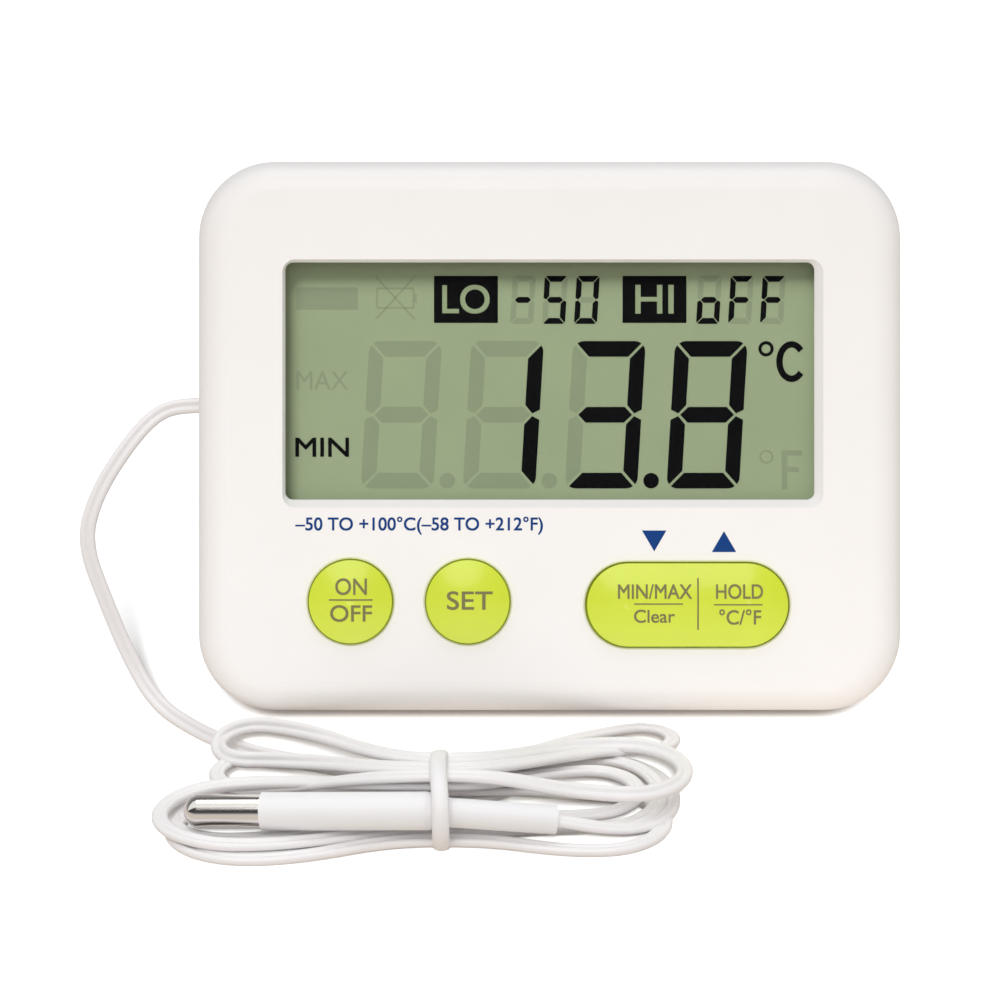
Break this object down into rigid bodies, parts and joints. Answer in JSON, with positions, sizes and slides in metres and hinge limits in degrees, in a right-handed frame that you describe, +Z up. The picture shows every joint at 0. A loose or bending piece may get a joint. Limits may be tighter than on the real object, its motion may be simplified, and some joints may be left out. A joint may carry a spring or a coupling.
{
  "type": "darkroom thermometer",
  "caption": "Digital min/max thermometer: white two-shell case with display, three lime keys, sliding battery door and fold-out stand, with a steel probe on a tied twin cord.",
  "frame": {"origin": "on the ground, midway across the case's width and midway between its lower front edge and the stand's foot", "axes": "+X to the viewer's right across the case, +Y away from the viewer, +Z up; the case leans back by 20 degrees"},
  "size_m": [0.13, 0.097, 0.0863],
  "materials": {
    "shell_white": "satin moulded white plastic",
    "window_clear": "clear polished acrylic",
    "lcd_glass": "grey-green liquid crystal glass with a matt polariser",
    "reflector_foil": "matt foil",
    "frame_plastic": "matt moulded plastic",
    "strip_rubber": "layered conductive rubber",
    "board_laminate": "green solder-masked laminate",
    "black_resin": "dull cast resin",
    "can_metal": "drawn nickel-plated can",
    "capacitor_sleeve": "shrunk plastic sleeve",
    "buzzer_brass": "thin rolled brass",
    "mat_rubber": "translucent grey silicone",
    "key_lime": "glossy lime green plastic",
    "screw_steel": "zinc-plated steel",
    "cell_jacket": "plain printed cell jacket",
    "contact_metal": "nickel-plated spring steel",
    "lead_insulation": "soft insulation",
    "cord_jacket": "soft white twin cord jacket",
    "tie_plastic": "soft white band",
    "probe_steel": "polished stainless steel",
    "bead_glass": "dipped bead",
    "potting_resin": "cast resin",
    "sleeve_plastic": "shrunk white sleeve",
    "legend_ink": "pad-printed olive legend",
    "print_blue": "pad-printed navy ink",
    "lcd_segment": "lit liquid crystal segments",
    "lcd_ghost": "unlit liquid crystal segments"
  },
  "bodies": {
    "case": {"front_shell": "shell_white", "rear_shell": "shell_white", "display_window": "window_clear", "lcd_front_glass": "lcd_glass", "lcd_rear_glass": "lcd_glass", "lcd_reflector": "reflector_foil", "lcd_frame": "frame_plastic", "contact_strip": "strip_rubber", "main_board": "board_laminate", "controller_chip": "black_resin", "crystal_can": "can_metal", "capacitor": "capacitor_sleeve", "buzzer_disc": "buzzer_brass", "key_mat": "mat_rubber", "case_screws": "screw_steel", "board_screws": "screw_steel", "battery_cell": "cell_jacket", "battery_plate": "contact_metal", "battery_spring": "contact_metal", "inner_lead": "lead_insulation", "probe_cord": "cord_jacket", "cord_hank": "cord_jacket", "cord_tie": "tie_plastic", "probe_tube": "probe_steel", "thermistor_bead": "bead_glass", "probe_potting": "potting_resin", "probe_sleeve": "sleeve_plastic"},
    "on_off_key": {"button_on_off": "key_lime"},
    "set_key": {"button_set": "key_lime"},
    "rocker_key": {"button_rocker": "key_lime"},
    "door": {"battery_door": "shell_white"},
    "stand": {"stand_leg": "shell_white"}
  },
  "joints": [
    {"name": "on_off_press", "type": "slide", "parent": "case", "child": "on_off_key", "axis": [0, 0.9397, -0.342], "range_m": [0, 0.001], "stiffness_N_per_m": 1200, "springref_m": -0.0003},
    {"name": "set_press", "type": "slide", "parent": "case", "child": "set_key", "axis": [0, 0.9397, -0.342], "range_m": [0, 0.001], "stiffness_N_per_m": 1200, "springref_m": -0.0003},
    {"name": "rocker_tilt", "type": "hinge", "parent": "case", "child": "rocker_key", "pos_m": [0.02135, -0.02106, 0.02176], "axis": [0, 0.342, 0.9397], "range_deg": [-3, 3], "stiffness_Nm_per_rad": 0.3},
    {"name": "door_slide", "type": "slide", "parent": "case", "child": "door", "axis": [0, 0.342, 0.9397], "range_m": [0, 0.05]},
    {"name": "stand_fold", "type": "hinge", "parent": "case", "child": "stand", "pos_m": [0, 0.01098, 0.0573], "axis": [-1, 0, 0], "range_deg": [0, 34]}
  ]
}
